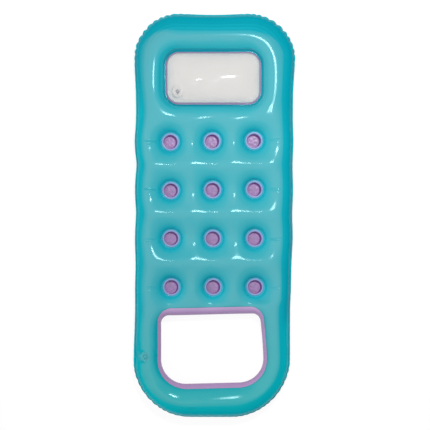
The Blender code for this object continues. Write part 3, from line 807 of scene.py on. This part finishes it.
def teal_film():
    """Glossy see-through PVC, with painted light: pale where it lies level, deep teal on its walls and near
    the outer weld, standing in for light through the film and for its gloss.

    The steepness near the edge, or a share of it elsewhere, gives the depth of the colour, by one ramp for
    the head and one for the foot, which blend along Y; the foot's is lighter and the head is darkened,
    painted light and shade for a lamp nearer the head. Walls that face right are painted deeper; near the
    edge, walls that face left, below the head, and at the foot those that face right are painted lighter, and
    so is the film beside the pillow and the pockets.
    """
    n = material("teal_pvc_film")
    from_edge, steep, lean = n.attribute("from_edge"), n.attribute("steep"), n.attribute("lean")
    along = n.node("ShaderNodeSeparateXYZ", {0: n.place()}, "Y")
    # painted light: the colour deepens where the film is steep, standing in for light through the film and
    # for gloss on level film
    inside = n.times(steep, n.span(along, 0.32, 0.18, 0.44, 0.52))
    depth = n.math("MAXIMUM", n.times(steep, n.span(from_edge, 1.0, 0.0, 0.03, 0.085)), inside)
    shade = n.math("ADD", depth, n.span(n.noise(9, 2), -0.02, 0.02))
    # painted shade: the deep band near the outer edge, and the darkest stop on the lap round the pillow
    shade = n.math("ADD", shade, n.times(n.attribute("outer"), 0.2))
    # painted shade: walls that face right are made deeper
    shade = n.math("ADD", shade, n.times(lean, 0.1))
    head = n.ramp(
        shade, (0.0, (0.092, 0.44, 0.5)), (0.026, (0.06, 0.43, 0.498)), (0.13, (0.006, 0.396, 0.492)),
        (0.5, (0.0, 0.38, 0.492)), (0.9, (0.0, 0.38, 0.492)), (1.0, (0.0, 0.27, 0.34)),
    )
    foot = n.ramp(
        shade, (0.0, (0.066, 0.48, 0.505)), (0.026, (0.046, 0.474, 0.505)), (0.13, (0.003, 0.47, 0.53)),
        (0.5, (0.0, 0.47, 0.56)),
    )
    # painted light and shade: the foot's ramp is lighter and the head is darkened, for a lamp that lies
    # nearer the head
    colour = n.mix(n.span(along, 0.0, 1.0, -0.85, -0.42), foot, head)
    colour = n.mix(n.span(along, 0.0, 1.0, 0.35, 0.8), colour, (0.9, 0.9, 0.91), "MULTIPLY")
    # painted light: near the edge, walls facing left below the head, and at the foot walls facing right, are
    # lightened
    left = n.times(n.span(lean, 1.0, 0.0, -0.26, -0.1), n.span(along, 1.0, 0.0, 0.45, 0.6))
    left = n.times(left, n.span(along, 0.5, 1.0, -0.54, -0.38))
    right = n.times(n.span(lean, 0.0, 1.0, 0.3, 0.55), n.span(along, 0.85, 0.0, -0.48, -0.38))
    lit = n.times(n.math("MAXIMUM", left, right), n.span(from_edge, 1.0, 0.0, 0.03, 0.05))
    colour = n.mix(lit, colour, (1.0, 1.24, 1.18), "MULTIPLY")
    # painted light beside the pillow and the pockets: a lighter cyan
    colour = n.mix(n.times(n.attribute("painted_light_by_welds"), 0.85), colour, (0.02, 0.64, 0.76))
    welded = n.attribute("welded")
    colour = n.mix(welded, colour, (0.0, 0.49, 0.58))
    normal = n.bump(n.times(n.attribute("rippled"), n.waves(0.0095, 3.0)), 0.00045)
    wave = n.math("SINE", n.times(from_edge, 2 * math.pi / 0.0165))
    normal = n.bump(n.times(wave, n.attribute("drawn")), 0.00045, 1.0, normal)
    normal = n.bump(n.times(n.noise(900, 1), welded), 0.0002, 0.5, normal)
    normal = n.bump(n.noise(140, 2), 0.00006, 0.35, normal)
    rough_weld = n.span(from_edge, 0.6, 0.0, 0.011, 0.017)
    roughness = n.math("MAXIMUM", n.span(n.noise(24, 3), 0.08, 0.16), rough_weld)
    return n.finish(colour, roughness, normal, IOR=1.2, Specular_Tint=(0.65, 0.97, 1.0, 1.0))


def lilac_film():
    """The lilac film of the underside and of the foot window's wall."""
    n = material("lilac_pvc_film")
    # painted shade: darker where the film is steep
    shade = n.math("ADD", n.attribute("steep"), n.span(n.noise(11, 2), -0.05, 0.05))
    colour = n.ramp(
        shade, (0.0, (0.56, 0.39, 0.64)), (0.35, (0.53, 0.35, 0.62)), (0.9, (0.44, 0.27, 0.53))
    )
    normal = n.bump(n.noise(140, 2), 0.00008, 0.35)
    return n.finish(colour, n.span(n.noise(24, 3), 0.14, 0.26), normal, IOR=1.26)


def pocket_film():
    """The cups: a bluish welded ring with a teal edge darkened by painted shade, a wall with painted light
    and a painted shadow, and a mottled lilac floor.
    """
    n = material("lilac_pocket_film")
    floor = n.ramp(
        n.noise(95, 4, 0.65), (0.36, (0.27, 0.24, 0.33)), (0.48, (0.35, 0.205, 0.42)),
        (0.6, (0.39, 0.25, 0.47)), (0.74, (0.32, 0.28, 0.4)),
    )
    ring = n.mix(n.noise(60, 2), (0.19, 0.33, 0.56), (0.31, 0.32, 0.6))
    colour = n.mix(n.attribute("ring"), floor, ring)
    # the flange's outer edge: the teal film's colour, darkened as painted shade of the crevice round the
    # flange
    colour = n.mix(n.attribute("teal_edge_and_shade"), colour, (0.012, 0.27, 0.4))
    # painted light and shade on the wall: light on its lower left, a dark painted shadow on its upper right
    wall = n.mix(n.attribute("painted_shade_side"), (0.56, 0.3, 0.56), (0.19, 0.065, 0.235))
    colour = n.mix(n.times(n.attribute("wall"), 0.85), colour, wall)
    normal = n.bump(n.noise(160, 3), 0.00025, 0.5)
    return n.finish(colour, n.span(n.noise(50, 3), 0.2, 0.36), normal, IOR=1.26)


def clear_film():
    """Clear PVC, a little hazy, with a pinkish weld round it."""
    n = material("clear_pvc_film")
    steep, rim = n.attribute("steep"), n.attribute("rim")
    shade = n.math("ADD", steep, n.span(n.noise(7, 2), -0.05, 0.05))
    colour = n.ramp(
        shade, (0.0, (0.74, 0.715, 0.68)), (0.4, (0.73, 0.72, 0.71)), (1.0, (0.7, 0.64, 0.7))
    )
    colour = n.mix(rim, colour, (0.56, 0.33, 0.52))
    alpha = n.math("ADD", n.span(steep, 0.26, 0.32, 0.0, 0.8), n.times(rim, 0.5))
    normal = n.bump(n.noise(120, 2), 0.0001, 0.3)
    return n.finish(colour, n.span(n.noise(20, 3), 0.07, 0.13), normal, alpha, IOR=1.32)


def valve_plastic(name, alpha, tint):
    """Clear soft moulding, slightly milky, with a fine moulded grain."""
    n = material(name)
    colour = n.mix(n.noise(220, 2), tint, tuple(min(1.0, c * 1.12) for c in tint))
    normal = n.bump(n.noise(1400, 2), 0.00006, 0.4)
    return n.finish(colour, n.span(n.noise(300, 2), 0.3, 0.44), normal, alpha, IOR=1.25)


# The films

def upper_strips():
    """The rows along the welds of the upper skin, and the outer loop with its normals and depths."""
    around, normals = round_the_box(OUTLINE, OUTLINE_STEPS)
    near_valve = np.exp(-(((around[:, 1] - MAIN_VALVE[1]) / 0.06) ** 4)) * (around[:, 0] < -0.2)
    inner = STRIP_DEPTH - SEAM - (STRIP_DEPTH - VALVE_STRIP) * near_valve
    share = DEPTHS[:, None]
    free = SEAM + (share - WELD_SHARE) / (1 - WELD_SHARE) * inner
    depth = np.where(share <= WELD_SHARE, share / WELD_SHARE * SEAM, free)
    outer = rows_beside(around, normals, depth)
    outer[..., 0] *= swell(outer[..., 1])

    clear, _ = round_the_box(WINDOW, WINDOW_STEPS)
    seam, _ = round_the_box(SEAM_LINE, WINDOW_STEPS, like=WINDOW)
    lap, lap_normals = round_the_box(grown(SEAM_LINE, LAP), WINDOW_STEPS, like=WINDOW)
    band = clear + (seam - clear) * ROLL_SHARES[:, None, None]
    welded = [(seam + lap) / 2, lap]
    beyond = rows_beside(lap, lap_normals, np.negative(PAST_LAP))
    strips = {
        "outer": outer,
        "window": np.concatenate([band, welded, beyond])[:, ::-1],
        "pillow": rows_beside(*round_the_box(PILLOW, PILLOW_STEPS), np.negative(ROUND_PILLOW))[:, ::-1],
        "valve": rings_round(MAIN_VALVE, VALVE_RADII, RING_COLUMNS),
    }
    for row, column, x, y in POCKETS:
        strips[f"pocket{row}{column}"] = rings_round((x, y), POCKET_RADII, POCKET_COLUMNS)
    return strips, around, normals, depth


def lower_strips(outer):
    """The rows along the welds of the underside, which shares the outer ones with the upper skin."""
    strips = {
        "outer": outer,
        "window": rows_beside(*round_the_box(WINDOW, WINDOW_STEPS), np.negative(UNDER_WINDOW))[:, ::-1],
        "pillow": rows_beside(
            *round_the_box(grown(PILLOW, -LAP), FLANGE_STEPS), np.negative(ROUND_FLANGE)
        )[:, ::-1],
    }
    for row, column, x, y in POCKETS:
        strips[f"pocket{row}{column}"] = rings_round((x, y), UNDER_RADII, RING_COLUMNS)
    return strips


def teal_marks(x, y):
    """What the teal film's colours follow.

    outer is a smooth step at a distance from the edge that depends on which way the edge lies: painted shade,
    the deep band of the outer walls, wider on the right than on the left and widest at the head, and raised
    on the lap round the pillow for painted shade there. drawn marks the stripes at the head, rippled the
    short ripples on the ridges under each pocket, and painted_light_by_welds the painted light beside the
    pillow and the pockets, as exp(-distance / reach).
    """
    wide, probe = swell(y), 0.001
    from_edge = depth_in(OUTLINE, x / wide, y)
    behind, ahead = (
        [depth_in(OUTLINE, (x + dx) / wide, y + dy) for dx, dy in ((step, 0), (0, step))]
        for step in (-probe, probe)
    )
    out_x, out_y = ((before - after) / (2 * probe) for before, after in zip(behind, ahead))
    # how far in the painted deep band reaches: further on the right than on the left, furthest at the head
    reach = 0.029 * out_x**2 + 0.0675 * out_y**2 + 0.015 * out_x + 0.0175 * out_y * np.abs(out_y)
    outer = smooth(0.5 + (reach - from_edge) / (0.034 + 0.026 * out_y**2))
    to_pillow, to_ring = -depth_in(grown(PILLOW, LAP), x, y), from_rings(x, y).min(axis=0)
    shelf = to_pillow < 0.001
    # painted light beside the pillow's weld and round the pockets' rings
    painted_light_by_welds = np.exp(-to_pillow / 0.014) * ~shelf + 1.3 * np.exp(-to_ring / 0.011) * smooth(to_ring / 0.006)
    rippled = 0
    for _, _, px, py in POCKETS:
        ridge = py - ROW_PITCH / 2 + 0.006
        rippled = rippled + np.exp(-(((x - px) / 0.03) ** 4) - ((y - ridge) / 0.016) ** 2)
    drawn = smooth((0.098 - from_edge) / 0.02) * smooth((from_edge - 0.035) / 0.012)
    drawn = drawn * smooth((y - 0.76) / 0.04)
    # painted shade: the lap round the pillow gets the darkest stop of the teal ramp
    outer = np.maximum(outer, 5.0 * shelf)
    return {"from_edge": from_edge, "outer": outer, "painted_light_by_welds": painted_light_by_welds, "rippled": rippled, "drawn": drawn}


def lounger_films(teal, lilac):
    """The teal top film and the lilac bottom film, with the band that it rolls up inside the foot window."""
    strips, around, normals, depth = upper_strips()
    plan, triangles, starts = plan_of(strips, TOP_PITCH, extra=pleat_points())
    height = upper_height(plan, triangles)
    pull, dent, wave = weld_shape(around, normals, depth)
    count = len(dent)

    rolled, columns = len(ROLL_SHARES), strips["window"].shape[1]
    band = np.arange(len(plan)) - starts["window"]
    in_window = (band >= 0) & (band < strips["window"].size // 2)
    band_row = np.where(in_window, band // columns, len(plan))
    teal_faces = triangles[band_row[triangles].min(axis=1) >= rolled - 1]
    band_faces = triangles[band_row[triangles].max(axis=1) <= rolled + 1]

    marks = teal_marks(*plan.T)
    marks["welded"] = np.zeros(len(plan))
    marks["welded"][:count] = (depth < SEAM + 0.0004).ravel()
    moved, z = plan.copy(), UPPER_FACE + height
    moved[:count] += pull
    z[:count] += wave - dent
    points = np.column_stack([settled(moved), z])
    top = make_piece("teal_top_film", points, teal_faces, teal, wall=FILM, marks=marks)

    below = lower_strips(strips["outer"])
    refilled = [name for name in below if "pocket" in name]
    low_plan, low_triangles, low_starts = plan_of(below, UNDER_PITCH, refilled=refilled)
    low_z = np.maximum(UNDER_FACE - lower_film(*low_plan.T), 0)
    low_plan[:count] += pull - UNDER_INSET * (normals * (DEPTHS < 0.1)[:, None, None]).reshape(-1, 2)
    low_z[:count] += wave + dent

    # the band's first row is the edge that the underside already has
    shift = np.where(band_row[band_faces] == 0, low_starts["window"] - starts["window"], len(low_plan))
    points = np.concatenate([
        np.column_stack([settled(low_plan), low_z]),
        np.column_stack([settled(plan), UNDER_FACE + height]),
    ])
    faces = np.concatenate([low_triangles[:, ::-1], band_faces + shift])
    bottom = make_piece("lilac_bottom_film", points, faces, lilac, wall=FILM)
    return top, bottom


def pillow_films(clear):
    """The two clear films of the pillow's chamber: the upper one carries the valve and shows the weld."""
    rim = grown(PILLOW, -GAP)
    for part, upper in (("top", True), ("bottom", False)):
        strips = {"rim": rows_beside(*round_the_box(rim, PILLOW_STEPS), IN_PILLOW)}
        if upper:
            strips["valve"] = rings_round(PILLOW_VALVE, VALVE_RADII, RING_COLUMNS)
        plan, triangles, _ = plan_of(strips, PILLOW_PITCH)
        height = pillow_height(plan, triangles)
        if upper:
            z = UPPER_FACE + seated(height, *plan.T, PILLOW_VALVE, valve_level("pillow_valve"))
        else:
            z = MIDDLE - GAP * 1.5 - 2 * FILM - height * PILLOW_SAG
            triangles = triangles[:, ::-1]
        marks = {"rim": smooth((0.0075 - depth_in(rim, *plan.T)) / 0.002) * upper}
        points = np.column_stack([plan, z])
        piece = make_piece(f"pillow_{part}_clear", points, triangles, clear, wall=FILM, marks=marks)
        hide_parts(f"pillow_{part}_film")


# Pockets

LIP = 0.0011  # radius at the cup's mouth
FOOT = 0.0016  # radius where its wall meets its floor


def cup_profile():
    """The cup from the middle of its floor, up inside the wall, out over the flange and back underneath."""
    bend = np.radians(np.linspace(0, 90, 5))
    floor, wall = CUP_FLOOR + FILM, FLOOR_RADIUS - FILM
    corner, lip = bend[1:-1], bend[1:]
    flange = np.linspace(MOUTH_RADIUS + 0.0022, FLANGE_RADIUS - 0.0004, 6)
    arch = 0.0004 * np.sin(math.pi * (flange - MOUTH_RADIUS) / (FLANGE_RADIUS - MOUTH_RADIUS))
    return np.concatenate([
        np.linspace((0.0, floor), (wall - FOOT, floor), 9),
        np.column_stack([wall - FOOT + FOOT * np.sin(corner), floor + FOOT * (1 - np.cos(corner))]),
        np.linspace((wall, CUP_FLOOR + 0.002), (MOUTH_RADIUS, CUP_TOP - LIP), 8),
        np.column_stack([MOUTH_RADIUS + LIP - LIP * np.cos(lip), CUP_TOP - LIP + LIP * np.sin(lip)]),
        np.column_stack([flange, CUP_TOP + arch]),
        [(FLANGE_RADIUS, CUP_TOP - 0.0002), (FLANGE_RADIUS, CUP_TOP - FILM)],
        [(MOUTH_RADIUS + FILM, CUP_TOP - FILM), (FLOOR_RADIUS, CUP_FLOOR), (0.0, CUP_FLOOR)],
    ])


def uneven(points, turn):
    """Lifts the cup's floor a little by waves, makes the cup a little oval, and leans it with depth."""
    x, y, z = points[..., 0], points[..., 1], points[..., 2]
    radius, angle = np.hypot(x, y), np.arctan2(y, x)
    upper = (z < CUP_FLOOR + 0.001) & (z > CUP_FLOOR + FILM / 2)
    waves = np.cos(3 * angle + turn) * np.sin(radius * 210 + turn) + 0.6 * np.cos(5 * angle - turn)
    lift = 0.0004 + 0.0004 * waves * np.minimum(radius / 0.012, 1)
    oval = 1 + 0.005 * np.cos(2 * angle + turn)
    z = z + upper * lift * smooth((0.025 - radius) / 0.01)
    lean = 0.0034 * np.clip((CUP_TOP - z) / (CUP_TOP - CUP_FLOOR), 0, 1)
    return np.stack([x * oval - lean, y * oval - 0.7 * lean, z], axis=-1)


def pocket_cups(film):
    """The pocket cups: a flange with a rounded lip, a tapered wall and an uneven floor."""
    profile = cup_profile()
    radius, height = profile.T
    sides = {
        "ring": (radius > MOUTH_RADIUS - 0.0005) & (height > CUP_TOP - 0.0015),
        # the flange's outer edge, which the material darkens with painted shade
        "teal_edge_and_shade": radius > FLANGE_RADIUS - 0.0022,
        "wall": (height > CUP_FLOOR + 0.0015) & (height < CUP_TOP - 0.0015) & (radius < MOUTH_RADIUS),
    }
    marks = {mark: np.repeat(values, TURNS) for mark, values in sides.items()}
    # painted shade: 1 on the upper right of each cup, where the wall gets a painted shadow
    toward_painted_shade = np.cos(2 * np.pi * np.arange(TURNS) / TURNS - 0.5)
    marks["painted_shade_side"] = np.tile(smooth(0.5 + 0.9 * toward_painted_shade), len(profile))
    for row, column, px, py in POCKETS:
        turn = row * 2.1 + column * 1.3
        centre = (*settled(np.array([px, py])), 0)
        piece = turned(
            f"pocket_film_r{row}c{column}", profile, centre, film, "lounger",
            shape=lambda points: uneven(points, turn), marks=marks,
        )
        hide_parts(f"pocket_cup_r{row}c{column}")


# Valves, as in the CAD source

BORE_RADIUS = 0.007
BASE_RADIUS = 0.019
BASE_THICKNESS = 0.001
WELL_RADIUS = BORE_RADIUS + 0.0012
STEM_RADIUS = BORE_RADIUS - 0.0003
STEM_INNER = STEM_RADIUS - 0.0016
COLLAR_RADIUS = 0.0095
COLLAR_THICKNESS = 0.0012
STEM_LENGTH = 0.02
CAP_RADIUS = 0.0076
CAP_THICKNESS = 0.0018
PLUG_LENGTH = 0.006
PLUG_TAPER = 0.0013
STRAP_LENGTH = 0.013
STRAP_WIDTH = 0.0044
STRAP_THICKNESS = 0.0009
FLAP_THICKNESS = 0.0004


def strap(start, end, low, high):
    """A strap along Y: (points, quads) of a closed box whose start follows half a circle."""
    half = STRAP_WIDTH / 2
    angle = np.radians(np.linspace(-90, 90, 9))
    tip = np.stack([half * np.sin(angle), start + half - half * np.cos(angle)], axis=1)
    outline = np.concatenate([tip, [[half, end], [-half, end]]])
    count = len(outline)
    points = np.concatenate([np.column_stack([outline, np.full(count, z)]) for z in (low, high)])
    middles = np.array([[0, (start + end) / 2, low], [0, (start + end) / 2, high]])
    ring, ahead, middle = np.arange(count), (np.arange(count) + 1) % count, np.full(count, 2 * count)
    sides = np.stack([ring, ahead, ahead + count, ring + count], axis=1)
    low_cap = np.stack([ahead, ring, middle, middle], axis=1)
    high_cap = np.stack([ring + count, ahead + count, middle + 1, middle + 1], axis=1)
    return np.concatenate([points, middles]), np.concatenate([sides, low_cap, high_cap])


def rounded(corners, radius, steps=3):
    """A closed profile with each corner cut by a small arc of chords between points on its two sides."""
    corners = np.array(corners, float)
    made = []
    for before, corner, after in zip(np.roll(corners, 1, axis=0), corners, np.roll(corners, -1, axis=0)):
        if corner[0] == 0:
            made.append(corner)
            continue
        one, other = before - corner, after - corner
        long, wide = np.linalg.norm(one), np.linalg.norm(other)
        reach = min(radius, long * 0.45, wide * 0.45)
        start, end = corner + one / long * reach, corner + other / wide * reach
        for t in np.linspace(0, 1, steps + 1):
            made.append((1 - t) ** 2 * start + 2 * t * (1 - t) * corner + t**2 * end)
    return np.array(made)


def valve(prefix, place, moulding, tube, stopper):
    """One valve, shut and pushed in, each piece on its own body."""
    low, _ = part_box(f"{prefix}_base")
    seat = low.z + WELL_DEPTH
    face = seat + BASE_THICKNESS
    base = [
        (BORE_RADIUS, face), (BORE_RADIUS, low.z), (WELL_RADIUS, low.z), (WELL_RADIUS, seat),
        (BASE_RADIUS, seat), (BASE_RADIUS, seat + BASE_THICKNESS / 2), (BASE_RADIUS - BASE_THICKNESS, face),
    ]
    collar = face + GAP
    rim, stem_end = collar + COLLAR_THICKNESS, collar - STEM_LENGTH
    stem = [
        (STEM_INNER, stem_end), (STEM_RADIUS, stem_end), (STEM_RADIUS, collar),
        (COLLAR_RADIUS, collar), (COLLAR_RADIUS, rim), (STEM_INNER, rim),
    ]
    under, plug = rim + GAP, STEM_INNER - GAP
    cap = [
        (0, under - PLUG_LENGTH), (plug - PLUG_TAPER, under - PLUG_LENGTH), (plug, under - PLUG_LENGTH / 3),
        (plug, under), (CAP_RADIUS, under), (CAP_RADIUS, under + CAP_THICKNESS * 0.7),
        (CAP_RADIUS - CAP_THICKNESS * 0.3, under + CAP_THICKNESS), (0, under + CAP_THICKNESS),
    ]
    shut, leaf = stem_end - GAP, STEM_RADIUS - 2 * GAP
    flap = [(0, shut - FLAP_THICKNESS), (leaf, shut - FLAP_THICKNESS), (leaf, shut), (0, shut)]
    ear = strap(-STRAP_LENGTH - STRAP_THICKNESS, -(STEM_RADIUS + COLLAR_RADIUS) / 2, collar, rim)
    over = strap(-STRAP_LENGTH - STRAP_THICKNESS / 2, -CAP_RADIUS * 0.8, under, under + STRAP_THICKNESS)
    centre = np.array([*place, 0])
    pieces = (
        ("base", base, 0.0003, moulding, "lounger", None),
        ("stem", stem, 0.0003, tube, f"{prefix}_stem", ear),
        ("stopper", cap, 0.0004, stopper, f"{prefix}_stopper", over),
        ("flap", flap, 0.0001, moulding, f"{prefix}_flap", None),
    )
    for part, profile, bevel, plastic, body, extra in pieces:
        extra = extra and (extra[0] + centre, extra[1])
        piece = turned(f"{prefix}_{part}_film", rounded(profile, bevel), centre, plastic, body, extra=extra)
        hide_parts(f"{prefix}_{part}")


# Floor, lamps and camera

CAMERA_PLACE = (0.0073, 0.0009, 5.5)
VIEW_WIDTH = 430 * LENGTH / 403.5  # of the weld plane: 430 pixels, of which the lounger's length takes 403.5
BRIGHT_SIDE = (-0.34, -0.15, 1.0)  # where the dome is brightest
LAMP_PLACE = (0.43, 0.99, 3.0)
LAMP_SIZE = (0.52, 0.34)


def stage_and_light():
    """A white floor, a dome that is bright to the left, a small bright box up to the right, and a camera.

    The floor shows as white to the camera, and in gloss and clear plastic, and keeps a share of its shadow.
    """
    n = material("white_floor")
    for key, value in (("Base Color", (0.86, 0.86, 0.86)), ("Roughness", 0.7), ("Specular IOR Level", 0.2)):
        n.put(value, n.shader.inputs[key])
    rays = ("Is Camera Ray", "Is Glossy Ray", "Is Transmission Ray")
    camera, glossy, through = (n.node("ShaderNodeLightPath", {}, ray) for ray in rays)
    seen = n.math("MAXIMUM", n.math("MAXIMUM", camera, glossy), through)
    glow = n.node("ShaderNodeEmission", {"Strength": 1.06})
    mixed = n.node("ShaderNodeMixShader", {"Fac": n.times(seen, 0.85), 1: n.shader.outputs[0], 2: glow})
    n.put(mixed, n.tree.nodes["Material Output"].inputs["Surface"])
    mesh = bpy.data.meshes.new("floor")
    mesh.from_pydata([(x, y, -0.0005) for x, y in ((-9, -9), (9, -9), (9, 9), (-9, 9))], [], [(0, 1, 2, 3)])
    mesh.materials.append(n.owner)
    floor = new_object("floor", mesh)

    n = Nodes(bpy.data.worlds.new("soft dome"), "Background")
    bright = tuple(Vector(BRIGHT_SIDE).normalized())
    toward = {0: n.node("ShaderNodeTexCoord", {}, "Generated"), 1: bright}
    toward = n.node("ShaderNodeVectorMath", toward, "Value", operation="DOT_PRODUCT")
    n.put(n.span(toward, 0.06, 1.25, 0.5, 1.0, interpolation_type="SMOOTHSTEP"), n.shader.inputs["Strength"])
    n.put((0.97, 0.985, 1.0), n.shader.inputs["Color"])
    bpy.context.scene.world = n.owner

    lamp = bpy.data.lights.new("key soft box", "AREA")
    lamp.shape = "RECTANGLE"
    lamp.size, lamp.size_y = LAMP_SIZE
    lamp.energy = 58
    placed = new_object("key soft box", lamp)
    placed.location = LAMP_PLACE
    placed.visible_camera = False

    camera = bpy.data.cameras.new("camera")
    camera.sensor_width = 36
    camera.lens = camera.sensor_width * (CAMERA_PLACE[2] - MIDDLE) / VIEW_WIDTH
    camera.clip_end = 50
    placed = new_object("camera", camera)
    placed.location = CAMERA_PLACE
    bpy.context.scene.camera = placed
    bpy.context.scene.view_settings.view_transform = "Standard"


# The object

top, bottom = lounger_films(teal_film(), lilac_film())
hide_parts("top_sheet")
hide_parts("bottom_sheet")
pillow_films(clear_film())
pocket_cups(pocket_film())
teal_moulding = valve_plastic("teal_valve_moulding", 0.1, (0.2, 0.6, 0.64))
teal_tube = valve_plastic("teal_valve_tube", 0.34, (0.16, 0.6, 0.66))
teal_stopper = valve_plastic("teal_valve_stopper", 0.55, (0.1, 0.62, 0.72))
moulding = valve_plastic("clear_valve_moulding", 0.1, (0.66, 0.67, 0.68))
tube = valve_plastic("clear_valve_tube", 0.22, (0.6, 0.62, 0.64))
stopper = valve_plastic("clear_valve_stopper", 0.42, (0.3, 0.31, 0.36))
valve("main_valve", MAIN_VALVE, teal_moulding, teal_tube, teal_stopper)
valve("pillow_valve", PILLOW_VALVE, moulding, tube, stopper)
stage_and_light()
